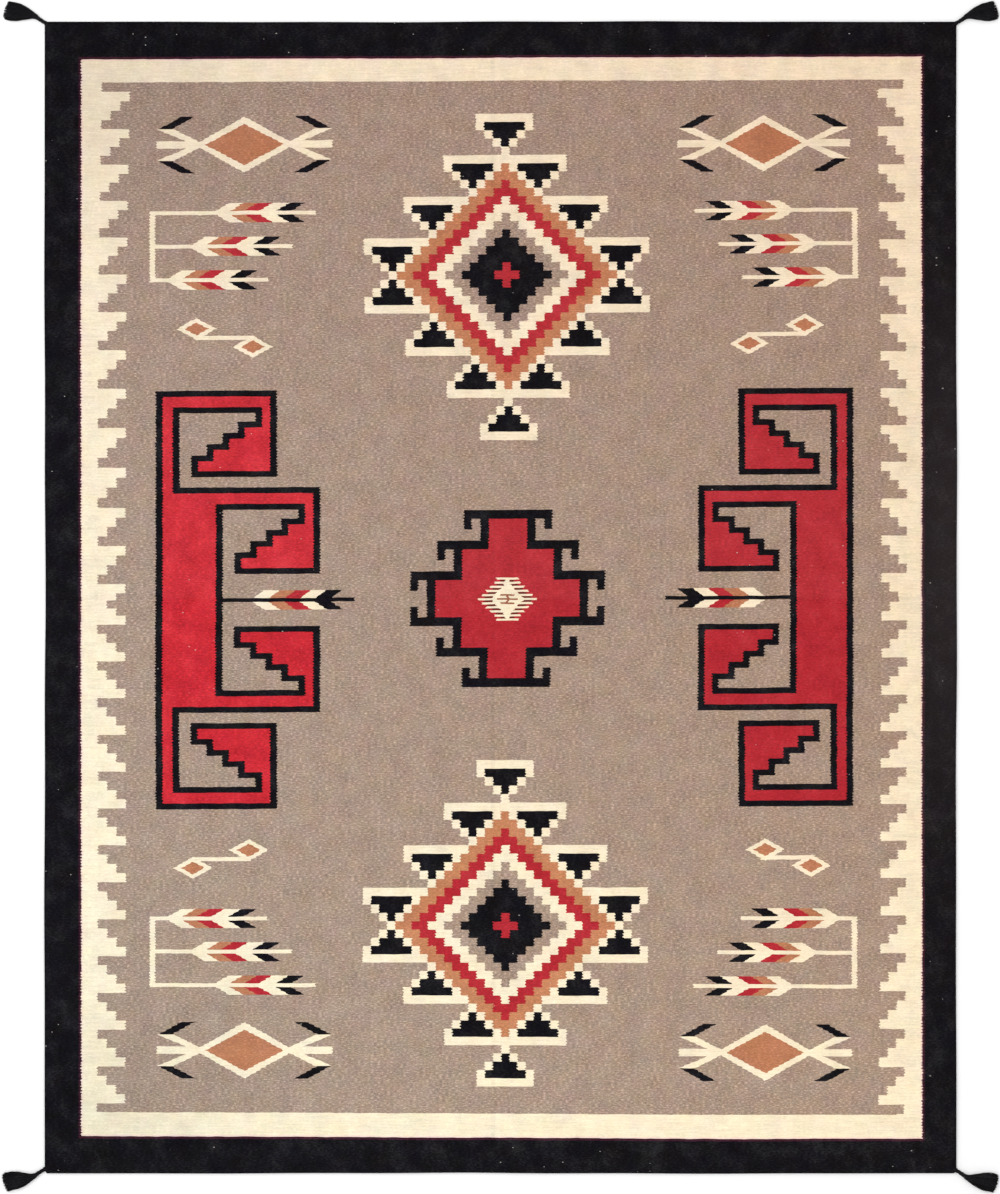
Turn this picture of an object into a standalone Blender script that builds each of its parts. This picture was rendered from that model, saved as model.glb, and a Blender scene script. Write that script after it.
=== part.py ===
# Wool area rug: one flat tapestry-woven cloth with a yarn tassel tied to each corner.
# Metres, +Z up. The origin is on the floor under the middle of the rug, +Y runs along its length.

import math

import bmesh
import bpy
import numpy as np

# Woven cloth
RUG_WIDTH = 2.440
RUG_LENGTH = 3.082
RUG_THICKNESS = 0.0042
RIM_ROUND = 0.0015  # radius of the edge cord's outer side
RIM_SEGMENTS = 2
RIM_ANGLE = math.radians(60.0)  # edges sharper than this are rounded
WELD_DISTANCE = 0.00005
OUTLINE_STEP = 0.13  # distance between the points along an edge
CORNER_CUT = 0.0110  # length of the small flat where each tassel is tied

# How a woven edge strays from straight: a long wave and a short one, in metres and in waves an edge
SIDE_LONG_WAVE = 0.0016
SIDE_SHORT_WAVE = 0.0008
END_LONG_WAVE = 0.0012
END_SHORT_WAVE = 0.0006
LONG_WAVES = 1.5
SHORT_WAVES = 5.5
FIRST_PHASE = 0.7
PHASE_STEP = 1.9  # from one edge to the next

# Tassels
PIECE_GAP = 0.0003
NECK_ANGLE = math.radians(32.0)  # between the neck and the rug's end where it leaves the corner
SIDES_OF_NECK = 12
NECK_STEPS = 7
SECTION_POWER_START = 2.0  # the neck is round where it is tied on
SECTION_POWER_END = 4.0  # and a rounded block where the strands leave it
NECK_LIFT = 0.0004  # underside of the neck above the floor
HEAD_OVERLAP = 0.45  # how far the neck reaches past its last own section, in sections

# Sections of a tassel from its tie to its cut end. "out" runs past the rug's side and "up" past its
# end, both from the corner. "half" is the half width on the floor and "tall" the height.
COLUMNS = ("out", "up", "half", "tall")
TIE = (-0.0030, -0.0040, 0.0050, 0.0058)
NECK = (0.0134, 0.0061, 0.0057, 0.0078)
HEAD = (0.0275, 0.0150, 0.0075, 0.0096)
FLARE = (0.0530, 0.0223, 0.0182, 0.0094)
BELLY = (0.0776, 0.0263, 0.0244, 0.0088)
CUT_END = (0.1085, 0.0321, 0.0252, 0.0078)
SECTIONS = (TIE, NECK, HEAD, FLARE, BELLY, CUT_END)
NECK_ROW = SECTIONS.index(NECK)
HEAD_ROW = SECTIONS.index(HEAD)
LAST_ROW = len(SECTIONS) - 1

# Strands of a tassel, a row for each layer from the floor up: how many lie side by side, and how
# much shorter than the lowest layer they are, in metres
LAYER_COLUMNS = ("count", "shorter")
LAYERS = ((9, 0.0), (8, 0.003), (7, 0.007))
STRAND_STEPS = 7
STRAND_ROOT = 0.30  # how far inside the head a strand starts, in sections
STRAND_SPREAD = 0.90  # share of the head's width that the roots take up
SPREAD_RATE = 3.0  # how soon the strands take up the whole width
ROOT_LIFT = 0.0011  # how far above the floor the lowest strands leave the head
SETTLE_RATE = 4.0  # how soon they come down to the floor
THINNEST_FILL = 0.84  # share of its room that the thinnest strand fills
FULLEST_FILL = 0.94
SAG_WAVE = 0.0009  # sideways wave that all the strands share
SAG_TURN = 7.0  # radians of that wave along a strand
DIRECTION_STEP = 0.01  # sections between the two points that give the tassel's direction
SMOOTH_ANGLE = math.radians(35.0)
UNEVEN_ENDS = 0.0028  # how much shorter a strand may be cut than its neighbours
END_BOW = 0.0036  # how the cut end bows back from its furthest strand
FURTHEST_STRAND = -0.40  # across the tassel, from -1 beside the rug to 1
LAYER_GAP = 0.0003

# Each tassel: its name, the side of the rug and the end that it is on, how much further out and up
# it lies than the sections say once past its tie, and its own random seed
TASSEL_COLUMNS = ("name", "side", "end", "shift", "seed")
TASSELS = (
    ("tassel_left_far", -1, 1, (0.0, 0.0), 11),
    ("tassel_right_far", 1, 1, (0.0025, 0.0), 23),
    ("tassel_left_near", -1, -1, (0.0035, -0.0068), 37),
    ("tassel_right_near", 1, -1, (0.0025, -0.0037), 41),
)

FIELD_TAUPE = (0.386, 0.270, 0.209, 1.0)
TASSEL_BLACK = (0.012, 0.011, 0.012, 1.0)
WOOL_ROUGHNESS = 0.92
YARN_ROUGHNESS = 0.85


def clear_scene():
    """Removes what the file holds, so that each run starts alike."""
    for old in list(bpy.data.objects):
        bpy.data.objects.remove(old, do_unlink=True)


def new_collection(name):
    """A collection linked to the scene."""
    made = bpy.data.collections.new(name)
    bpy.context.scene.collection.children.link(made)
    return made


def wool_material(name, colour, roughness):
    """A plain Principled material for dyed wool."""
    made = bpy.data.materials.new(name)
    made.use_nodes = True
    shader = made.node_tree.nodes["Principled BSDF"]
    shader.inputs["Base Color"].default_value = colour
    shader.inputs["Roughness"].default_value = roughness
    shader.inputs["Metallic"].default_value = 0.0
    return made


def new_object(name, bm, material, collection):
    """An object that holds the bmesh, with its faces pointing out."""
    bmesh.ops.recalc_face_normals(bm, faces=bm.faces)
    mesh = bpy.data.meshes.new(name)
    bm.to_mesh(mesh)
    bm.free()
    mesh.shade_smooth()
    mesh.set_sharp_from_angle(angle=SMOOTH_ANGLE)
    mesh.materials.append(material)
    made = bpy.data.objects.new(name, mesh)
    collection.objects.link(made)
    return made


def stray(along, length, long_wave, short_wave, phase):
    """How far an edge lies outside its straight line. It is nothing at both corners."""
    share = along / length
    fade = math.sin(math.pi * share)
    slow = long_wave * math.sin(2 * math.pi * LONG_WAVES * share + phase)
    quick = short_wave * math.sin(2 * math.pi * SHORT_WAVES * share + 2 * phase)
    return fade * (slow + quick)


def edge_points(start, end, long_wave, short_wave, phase):
    """Points from start towards end, strayed to the right of the way they run. The end is left out."""
    run = np.subtract(end, start)
    length = float(np.hypot(*run))
    ahead = run / length
    outward = np.array((ahead[1], -ahead[0]))
    steps = max(2, round(length / OUTLINE_STEP))
    spaced = [length * i / steps for i in range(steps)]
    return [
        np.asarray(start) + ahead * s + outward * stray(s, length, long_wave, short_wave, phase)
        for s in spaced
    ]


def corner_cut():
    """Width and length that the small flat takes off a corner. It lies square to the tassel's neck."""
    return CORNER_CUT * math.sin(NECK_ANGLE), CORNER_CUT * math.cos(NECK_ANGLE)


def rug_outline():
    """The rug's outline seen from above, anticlockwise, with its wavering edges and cut corners."""
    half_w = RUG_WIDTH / 2
    half_l = RUG_LENGTH / 2
    cut_w, cut_l = corner_cut()
    near = ((-half_w + cut_w, -half_l), (half_w - cut_w, -half_l))
    right = ((half_w, -half_l + cut_l), (half_w, half_l - cut_l))
    far = ((half_w - cut_w, half_l), (-half_w + cut_w, half_l))
    left = ((-half_w, half_l - cut_l), (-half_w, -half_l + cut_l))
    points = []
    for number, (start, end) in enumerate((near, right, far, left)):
        is_side = number % 2 == 1
        long_wave = SIDE_LONG_WAVE if is_side else END_LONG_WAVE
        short_wave = SIDE_SHORT_WAVE if is_side else END_SHORT_WAVE
        phase = FIRST_PHASE + PHASE_STEP * number
        points += edge_points(start, end, long_wave, short_wave, phase)
        points.append(np.asarray(end))
    return points


def make_rug(collection):
    """The woven cloth: its outline filled and raised to the cloth's thickness, with a rounded rim."""
    outline = rug_outline()
    curve = bpy.data.curves.new("rug", "CURVE")
    curve.dimensions = "2D"
    curve.fill_mode = "BOTH"
    curve.extrude = RUG_THICKNESS / 2
    spline = curve.splines.new("POLY")
    spline.points.add(len(outline) - 1)
    for point, (x, y) in zip(spline.points, outline):
        point.co = (x, y, 0.0, 1.0)
    spline.use_cyclic_u = True
    curve.materials.append(wool_material("rug_wool", FIELD_TAUPE, WOOL_ROUGHNESS))
    rug = bpy.data.objects.new("rug", curve)
    rug.location.z = RUG_THICKNESS / 2
    collection.objects.link(rug)
    seams = rug.modifiers.new("seams", "WELD")
    seams.merge_threshold = WELD_DISTANCE
    rim = rug.modifiers.new("rim", "BEVEL")
    rim.width = RIM_ROUND
    rim.segments = RIM_SEGMENTS
    rim.limit_method = "ANGLE"
    rim.angle_limit = RIM_ANGLE
    return rug


def section_at(row, shift):
    """The tassel's section at a row number that need not be whole, on a smooth curve through them."""
    first = min(int(row), LAST_ROW - 1)
    t = row - first
    before, start, end, after = (
        np.array(SECTIONS[min(max(i, 0), LAST_ROW)]) for i in range(first - 1, first + 3)
    )
    if first == 0:
        before = 2 * start - end
    if first + 2 > LAST_ROW:
        after = 2 * end - start
    bend = 2 * before - 5 * start + 4 * end - after
    twist = 3 * start - before - 3 * end + after
    smooth = 0.5 * (2 * start + (end - before) * t + bend * t**2 + twist * t**3)
    section = dict(zip(COLUMNS, smooth))
    share = min(1.0, row / NECK_ROW)
    eased = share * share * (3 - 2 * share)
    section["out"] += shift[0] * eased
    section["up"] += shift[1] * eased
    return section


def frame_at(row, shift):
    """The middle of the tassel on the floor at that row, and the unit ways ahead and across."""
    here = section_at(row, shift)
    low = max(row - DIRECTION_STEP, 0.0)
    high = min(row + DIRECTION_STEP, LAST_ROW)
    back = section_at(low, shift)
    fore = section_at(high, shift)
    ahead = np.array((fore["out"] - back["out"], fore["up"] - back["up"]))
    ahead /= np.hypot(*ahead)
    if row == 0:
        ahead = np.array((math.cos(NECK_ANGLE), math.sin(NECK_ANGLE)))
    across = np.array((-ahead[1], ahead[0]))
    return np.array((here["out"], here["up"])), ahead, across


def placed(side, end, middle, across, offset, height):
    """A point of a tassel in the rug's frame. The tassels at the four corners mirror one another."""
    out, up = middle + across * offset
    return side * (RUG_WIDTH / 2 + out), end * (RUG_LENGTH / 2 + up), height


def tie_point():
    """Where the neck starts: the middle of the corner's flat, a piece gap away from it."""
    cut_w, cut_l = corner_cut()
    flat_middle = np.array((-cut_w / 2, -cut_l / 2))
    return flat_middle + PIECE_GAP * np.array((math.cos(NECK_ANGLE), math.sin(NECK_ANGLE)))


def add_loft(bm, rings):
    """One closed body through rings of points that all have as many points."""
    grid = [[bm.verts.new(p) for p in ring] for ring in rings]
    for lower, upper in zip(grid, grid[1:]):
        for i, vert in enumerate(lower):
            j = (i + 1) % len(lower)
            bm.faces.new((vert, lower[j], upper[j], upper[i]))
    bm.faces.new(grid[0])
    bm.faces.new(grid[-1])


def make_head(name, side, end, shift, material, collection):
    """The neck and the bound head of a tassel, round at the tie and a rounded block at the strands."""
    bm = bmesh.new()
    rings = []
    for row in np.linspace(0.0, HEAD_ROW + HEAD_OVERLAP, NECK_STEPS):
        here = section_at(row, shift)
        middle, _, across = frame_at(row, shift)
        if row == 0:
            middle = tie_point()
        share = row / (HEAD_ROW + HEAD_OVERLAP)
        power = SECTION_POWER_START + (SECTION_POWER_END - SECTION_POWER_START) * share
        ring = []
        for i in range(SIDES_OF_NECK):
            turn = 2 * math.pi * (i + 0.5) / SIDES_OF_NECK
            level = math.copysign(abs(math.sin(turn)) ** (2 / power), math.sin(turn))
            wide = math.copysign(abs(math.cos(turn)) ** (2 / power), math.cos(turn))
            height = NECK_LIFT + here["tall"] / 2 * (1 + level)
            ring.append(placed(side, end, middle, across, here["half"] * wide, height))
        rings.append(ring)
    add_loft(bm, rings)
    return new_object(name, bm, material, collection)


def strand_rings(side, end, shift, layer, number, rng):
    """Rings of four points along one strand, from its root in the head to its cut end."""
    count, shorter = LAYERS[layer]
    place = 2 * (number + 0.5) / count - 1
    fill = rng.uniform(THINNEST_FILL, FULLEST_FILL)
    uneven = UNEVEN_ENDS * rng.uniform(0.0, 1.0)
    if layer == 0 and abs(place - FURTHEST_STRAND) < 1 / count:
        uneven = 0.0
    last_length = CUT_END[0] - BELLY[0]
    lost = shorter + uneven + END_BOW * (place - FURTHEST_STRAND) ** 2
    last_row = LAST_ROW - lost / last_length
    first_row = HEAD_ROW + HEAD_OVERLAP - STRAND_ROOT
    rings = []
    for row in np.linspace(first_row, last_row, STRAND_STEPS):
        here = section_at(row, shift)
        middle, _, across = frame_at(row, shift)
        share = (row - first_row) / (LAST_ROW - first_row)
        narrowed = STRAND_SPREAD + (1 - STRAND_SPREAD) * min(1.0, SPREAD_RATE * share)
        room = 2 * here["half"] * narrowed / count
        centre = place * here["half"] * narrowed + SAG_WAVE * share * math.sin(SAG_TURN * share + end)
        lift = ROOT_LIFT * max(0.0, 1 - SETTLE_RATE * share)
        layer_room = (here["tall"] - lift) / len(LAYERS)
        low = lift + layer * layer_room
        high = low + layer_room - LAYER_GAP
        half = room * fill / 2
        corners = ((-half, low), (half, low), (half, high), (-half, high))
        rings.append([placed(side, end, middle, across, centre + w, h) for w, h in corners])
    return rings


def make_strands(name, side, end, shift, seed, material, collection):
    """All the strands of a tassel. They stand apart, and the union with the head holds their roots."""
    rng = np.random.default_rng(seed)
    bm = bmesh.new()
    for layer, (count, _) in enumerate(LAYERS):
        for number in range(count):
            add_loft(bm, strand_rings(side, end, shift, layer, number, rng))
    made = new_object(name, bm, material, collection)
    made.hide_render = True
    made.display_type = "WIRE"
    return made


def make_tassel(name, side, end, shift, seed, material, parts, joined):
    """One tassel: its head, with the strands' roots fused into it."""
    head = make_head(name, side, end, shift, material, parts)
    strands = make_strands(name + "_strands", side, end, shift, seed, material, joined)
    union = head.modifiers.new("strand_roots", "BOOLEAN")
    union.operation = "UNION"
    union.solver = "EXACT"
    union.object = strands
    return head


def main():
    clear_scene()
    parts = new_collection("wool_area_rug")
    joined = new_collection("joined_shapes")
    make_rug(parts)
    yarn = wool_material("tassel_yarn", TASSEL_BLACK, YARN_ROUGHNESS)
    for name, side, end, shift, seed in TASSELS:
        make_tassel(name, side, end, shift, seed, yarn, parts, joined)


main()
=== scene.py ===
import bpy
import numpy as np
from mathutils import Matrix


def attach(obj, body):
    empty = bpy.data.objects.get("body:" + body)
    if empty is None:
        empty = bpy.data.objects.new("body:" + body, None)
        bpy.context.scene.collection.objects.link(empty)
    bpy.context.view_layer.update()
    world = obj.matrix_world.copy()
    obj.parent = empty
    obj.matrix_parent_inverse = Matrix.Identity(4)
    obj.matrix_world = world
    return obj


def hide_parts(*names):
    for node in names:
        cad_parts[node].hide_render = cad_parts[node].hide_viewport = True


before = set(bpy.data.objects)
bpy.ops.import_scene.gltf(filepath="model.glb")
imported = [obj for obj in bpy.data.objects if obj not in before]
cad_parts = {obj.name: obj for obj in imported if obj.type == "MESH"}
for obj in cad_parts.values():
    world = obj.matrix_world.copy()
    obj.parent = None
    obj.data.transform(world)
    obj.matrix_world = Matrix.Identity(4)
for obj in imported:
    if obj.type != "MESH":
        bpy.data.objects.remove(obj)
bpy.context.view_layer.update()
print("frame:", ", ".join(sorted(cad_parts)))

# Camera straight above the rug, as in the reference view
view = dict(
    pixelsWide=1000,
    pixelsHigh=1194,
    metresPerPixel=0.002677,
    rugMiddlePixel=(500.55, 597.5),
    height=15.0,
    sensor=36.0,
)

# Soft light from all round, a large lamp above and a pale floor
studio = dict(
    skyStrength=0.95,
    lampSize=5.0,
    lampPower=130.0,
    lampPlace=(-3.2, 1.6, 5.2),
    floorSize=40.0,
    floorDrop=0.0004,  # keeps the floor off the rug's underside
    floorColour=(0.93, 0.93, 0.93),
)


def addCamera():
    # the distance sets the lens, so that the long side of the picture spans its own length on the floor
    data = bpy.data.cameras.new("topCamera")
    spanHigh = view["pixelsHigh"] * view["metresPerPixel"]
    data.sensor_width = view["sensor"]
    data.lens = view["sensor"] * view["height"] / spanHigh
    data.clip_end = 100.0
    camera = bpy.data.objects.new("topCamera", data)
    rightOfMiddle = view["pixelsWide"] / 2 - view["rugMiddlePixel"][0]
    belowMiddle = view["pixelsHigh"] / 2 - view["rugMiddlePixel"][1]
    camera.location = (
        rightOfMiddle * view["metresPerPixel"],
        -belowMiddle * view["metresPerPixel"],
        view["height"],
    )
    bpy.context.scene.collection.objects.link(camera)
    bpy.context.scene.camera = camera


def addStudio():
    scene = bpy.context.scene
    scene.view_settings.view_transform = "Standard"
    world = bpy.data.worlds.new("softSky")
    world.use_nodes = True
    sky = world.node_tree.nodes["Background"]
    sky.inputs["Color"].default_value = (1.0, 1.0, 1.0, 1.0)
    sky.inputs["Strength"].default_value = studio["skyStrength"]
    scene.world = world

    lampData = bpy.data.lights.new("softLamp", "AREA")
    lampData.size = studio["lampSize"]
    lampData.energy = studio["lampPower"]
    lamp = bpy.data.objects.new("softLamp", lampData)
    lamp.location = studio["lampPlace"]
    lamp.rotation_euler = lamp.location.to_track_quat("Z", "Y").to_euler()
    scene.collection.objects.link(lamp)

    half = studio["floorSize"] / 2
    mesh = bpy.data.meshes.new("floor")
    corners = [(-half, -half), (half, -half), (half, half), (-half, half)]
    mesh.from_pydata([(x, y, -studio["floorDrop"]) for x, y in corners], [], [(0, 1, 2, 3)])
    floor = bpy.data.objects.new("floor", mesh)
    paint = bpy.data.materials.new("floorPaint")
    paint.use_nodes = True
    shader = paint.node_tree.nodes["Principled BSDF"]
    shader.inputs["Base Color"].default_value = (*studio["floorColour"], 1.0)
    shader.inputs["Roughness"].default_value = 0.9
    mesh.materials.append(paint)
    scene.collection.objects.link(floor)
    return floor


# A number on its way through a node tree, so that a formula there can be written as one
class Wire:
    def __init__(self, tree, socket):
        self.tree = tree
        self.socket = socket

    def step(self, operation, *others):
        node = self.tree.nodes.new("ShaderNodeMath")
        node.operation = operation
        for slot, given in zip(node.inputs, (self,) + others):
            plug(self.tree, given, slot)
        return Wire(self.tree, node.outputs[0])

    def __add__(self, other):
        return self.step("ADD", other)

    def __sub__(self, other):
        return self.step("SUBTRACT", other)

    def __mul__(self, other):
        return self.step("MULTIPLY", other)

    def __truediv__(self, other):
        return self.step("DIVIDE", other)

    def __lt__(self, other):
        return self.step("LESS_THAN", other)

    def __gt__(self, other):
        return self.step("GREATER_THAN", other)

    def __and__(self, other):  # both masks
        return self.step("MINIMUM", other)

    def __or__(self, other):  # either mask
        return self.step("MAXIMUM", other)

    def __abs__(self):
        return self.step("ABSOLUTE")

    def near(self, middle, half):  # 1 within half of middle
        return self.step("COMPARE", middle, half)

    def within(self, low, high):
        return self.near((low + high) / 2, (high - low) / 2)

    def where(self, mask, other):  # other where the mask is 1, else this
        node = self.tree.nodes.new("ShaderNodeMix")
        node.data_type = "FLOAT"
        plug(self.tree, mask, node.inputs[0])
        plug(self.tree, self, node.inputs[2])
        plug(self.tree, other, node.inputs[3])
        return Wire(self.tree, node.outputs[0])


def plug(tree, given, slot):
    # a wire or a socket is linked, anything else is set
    if isinstance(given, Wire):
        tree.links.new(given.socket, slot)
    elif isinstance(given, bpy.types.NodeSocket):
        tree.links.new(given, slot)
    else:
        slot.default_value = given


def newGroup(name, inputs, outputs):
    # inputs and outputs are pairs of a label and the kind of socket
    tree = bpy.data.node_groups.new(name, "ShaderNodeTree")
    for label, kind in inputs:
        tree.interface.new_socket(label, in_out="INPUT", socket_type="NodeSocket" + kind)
    for label, kind in outputs:
        tree.interface.new_socket(label, in_out="OUTPUT", socket_type="NodeSocket" + kind)
    start = tree.nodes.new("NodeGroupInput")
    end = tree.nodes.new("NodeGroupOutput")
    given = {label: Wire(tree, start.outputs[label]) for label, kind in inputs}
    return tree, given, end.inputs


def useGroup(tree, group, **values):
    # puts the group into the tree with these inputs, and gives back its outputs as wires
    node = tree.nodes.new("ShaderNodeGroup")
    node.node_tree = group
    for label, value in values.items():
        plug(tree, value, node.inputs[label])
    return {out.name: Wire(tree, out) for out in node.outputs}


def splitPosition(tree, position):
    node = tree.nodes.new("ShaderNodeSeparateXYZ")
    plug(tree, position, node.inputs[0])
    return [Wire(tree, out) for out in node.outputs]


def joinPosition(tree, x, y, z=0.0):
    node = tree.nodes.new("ShaderNodeCombineXYZ")
    for slot, given in zip(node.inputs, (x, y, z)):
        plug(tree, given, slot)
    return node.outputs[0]


def noiseAt(tree, place, scale, detail=2.0, roughness=0.5):
    # three noises from 0 to 1 about 0.5
    node = tree.nodes.new("ShaderNodeTexNoise")
    node.noise_dimensions = "2D"
    plug(tree, place, node.inputs["Vector"])
    node.inputs["Scale"].default_value = scale
    node.inputs["Detail"].default_value = detail
    node.inputs["Roughness"].default_value = roughness
    split = tree.nodes.new("ShaderNodeSeparateColor")
    tree.links.new(node.outputs["Color"], split.inputs[0])
    return [Wire(tree, out) for out in split.outputs]


def byQuarter(right, near, numbers):
    # the number of this quarter of the rug, out of left far, right far, left near and right near
    leftFar, rightFar, leftNear, rightNear = numbers
    far = right * (rightFar - leftFar) + leftFar
    return far.where(near, right * (rightNear - leftNear) + leftNear)


def steppedNumber(tree, wire, span, steps):
    # the number of the last step that the wire has passed; each step is (its start, its number below 16)
    ramp = tree.nodes.new("ShaderNodeValToRGB")
    ramp.color_ramp.interpolation = "CONSTANT"
    elements = ramp.color_ramp.elements
    elements.remove(elements[1])
    for place, (start, number) in enumerate(steps):
        mark = elements[0] if place == 0 else elements.new(start / span)
        mark.position = start / span
        mark.color = (number / 16, number / 16, number / 16, 1.0)
    plug(tree, wire / span, ramp.inputs[0])
    return Wire(tree, ramp.outputs[0]) * 16.0


# Dyes by their number in the pattern, as 0 to 255 colours
dyes = dict(
    taupe=(0, (164, 140, 124)),
    black=(1, (19, 17, 21)),
    cream=(2, (238, 221, 192)),
    red=(3, (175, 44, 52)),
    clay=(4, (180, 118, 86)),
    tan=(5, (188, 124, 88)),
    brown=(6, (158, 95, 70)),
    plum=(7, (60, 27, 40)),
    scarlet=(8, (196, 44, 53)),  # the left hooked frames, from another dye lot
    blush=(9, (238, 208, 193)),
    madder=(10, (108, 34, 34)),
)
taupe, black, cream, red, clay, tan, brown, plum, scarlet, blush, madder = (
    number for number, _ in dyes.values()
)

# Where the design lies on the cloth and how the weaving strays. Pattern sizes are in millimetres.
design = dict(
    acrossMiddle=15.1,  # of the design from the rug's own middle
    alongMiddle=-4.05,
    rightShare=0.9855,  # the right half is woven this much narrower
    slant=0.0052,  # of the weft lines, which rise to the right
    slantLift=1.2,
    slantLevel=-840.0,  # where they lie level, and how far on from there they slant in full
    slantGrows=250.0,
    slantLeast=-0.4,
    slowStray=(5.0, 4.0),
    slowScale=1.5,
    quickStray=(2.6, 2.6),
    quickScale=24.0,
    rowPitch=2.7,  # beaten weft rows, which give upright colour joints their teeth
    rowStray=2.6,
    jointTeeth=8.0,
    jointDepth=0.95,
)


def makeClothGrid():
    # across and along = the place on the cloth from the design's middle, strayed by two noises and by
    # the weft rows; u and v = the same folded into one quarter; the weft lines slant
    tree, given, out = newGroup(
        "clothGrid",
        [("Position", "Vector")],
        [(n, "Float") for n in ("Across", "Along", "AlongFlat", "U", "V", "Right", "Near")],
    )
    x, y, _ = splitPosition(tree, given["Position"])
    slow = noiseAt(tree, given["Position"], design["slowScale"], 1.0)
    quick = noiseAt(tree, given["Position"], design["quickScale"], 1.0)
    yMm = y * 1000.0
    row = (yMm / design["rowPitch"]).step("FLOOR")
    chance = tree.nodes.new("ShaderNodeTexWhiteNoise")
    chance.noise_dimensions = "1D"
    plug(tree, row, chance.inputs["W"])
    rowShift = (Wire(tree, chance.outputs["Value"]) - 0.5) * design["rowStray"]
    teeth = yMm.step("PINGPONG", design["jointTeeth"] / 2) * design["jointDepth"]
    slowAcross, slowAlong = design["slowStray"]
    quickAcross, quickAlong = design["quickStray"]
    across = x * 1000.0 - design["acrossMiddle"]
    across = across + (slow[0] - 0.5) * slowAcross + (quick[0] - 0.5) * quickAcross
    across = across + rowShift + teeth
    flat = yMm - design["alongMiddle"]
    flat = flat + (slow[1] - 0.5) * slowAlong + (quick[1] - 0.5) * quickAlong
    share = (flat - design["slantLevel"]) / design["slantGrows"]
    share = share.step("MINIMUM", 1.0).step("MAXIMUM", design["slantLeast"])
    along = flat - across * share * design["slant"] - design["slantLift"]
    right = across > 0.0
    shares = {
        "Across": across,
        "Along": along,
        "AlongFlat": flat,
        "U": abs(across) * (right * (1 / design["rightShare"] - 1) + 1.0),
        "V": abs(along),
        "Right": right,
        "Near": along < 0.0,
    }
    for label, wire in shares.items():
        plug(tree, wire, out[label])
    return tree


# Bands along the edges and the stepped teeth on the sides
border = dict(
    blackSide=(1135.5, 1130.5),  # left and right
    blackEnd=(1448.3, 1441.5),  # far and near
    creamEnd=(1386.8, 1377.3),
    endSlant=0.0035,
    notch=(1086.7, 1080.8),  # the cream's least reach, left and right, and one step of a tooth
    toothStep=(24.9, 23.1),
    bow=(4.5, 9.0),  # of the teeth away from the middle line
    drift=(7.0, 0.0),  # of their reach, in at the far end and out at the near one
    halfLength=1386.0,
    steps=4,
    middleLine=(-13.4, 6.4),  # left and right
    middleSlot=11.0,
    firstTooth=(54.6, 63.5),
    pitch=(101.3, 99.7, 98.6, 99.7),  # by quarter
    bulge=(17.0, -6.0, 0.0, -8.0),  # of the teeth away from the middle, by quarter
    bulgeMiddle=780.0,
    bulgeHalf=520.0,
    plumWide=6.6,  # where the black dye has run, in the black and in the cream
    blushWide=4.2,
)


def makeBorderBands():
    # a tooth is four steps to a pitch: reach = notch - step number * step, where the step number =
    # floor(4 * fraction((distance from the first tooth) / pitch)); bow and bulge are parabolas, drift
    # grows with the cube of the distance
    tree, given, out = newGroup(
        "borderBands",
        [(n, "Float") for n in ("Across", "U", "AlongFlat", "Right", "Near")],
        [("Dye", "Float")],
    )
    u, right, near = given["U"], given["Right"], given["Near"]

    def bySide(pair):
        return right * (pair[1] - pair[0]) + pair[0]

    def byEnd(pair):
        return near * (pair[1] - pair[0]) + pair[0]

    v = abs(given["AlongFlat"])
    distance = abs(given["AlongFlat"] - bySide(border["middleLine"]))
    off = (distance - border["bulgeMiddle"]) / border["bulgeHalf"]
    bulge = ((off * off) * -1.0 + 1.0).step("MAXIMUM", 0.0) * byQuarter(right, near, border["bulge"])
    fromFirst = distance - bulge - bySide(border["firstTooth"])
    place = (fromFirst / byQuarter(right, near, border["pitch"])).step("FRACT")
    stepNumber = (place * border["steps"]).step("FLOOR")
    stepNumber = stepNumber.where(distance < border["middleSlot"], 1.0)
    far = given["AlongFlat"] / border["halfLength"]
    bow = ((far * far) * -1.0 + 1.0) * bySide(border["bow"]) - far * far * far * bySide(border["drift"])
    reach = bySide(border["notch"]) + bow - stepNumber * bySide(border["toothStep"])
    v = v - given["Across"] * border["endSlant"]
    isCream = (u > reach) | (v > byEnd(border["creamEnd"]))
    pastBlack = (u - bySide(border["blackSide"])) | (v - byEnd(border["blackEnd"]))
    dye = (isCream * cream).where(pastBlack > -border["blushWide"], blush).where(pastBlack > 0.0, plum)
    plug(tree, dye.where(pastBlack > border["plumWide"], black), out["Dye"])
    return tree


# Stepped diamond with small pyramids, charted in cells counted from its middle
medallion = dict(
    acrossMiddle=(2.9, -0.7),  # far and near
    alongMiddle=(866.4, 875.1),
    farLean=0.0144,
    cellWide=21.8,
    cellHigh=(22.7, 22.11),  # towards the rug's middle and towards its end
    rings=[(0, red), (1.5, black), (5.5, taupe), (7.5, cream), (9.5, red), (11.5, tan), (13.5, taupe)],
    pyramidRows=5,
    firstColumn=14,
    lastRow=19,
)


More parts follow.
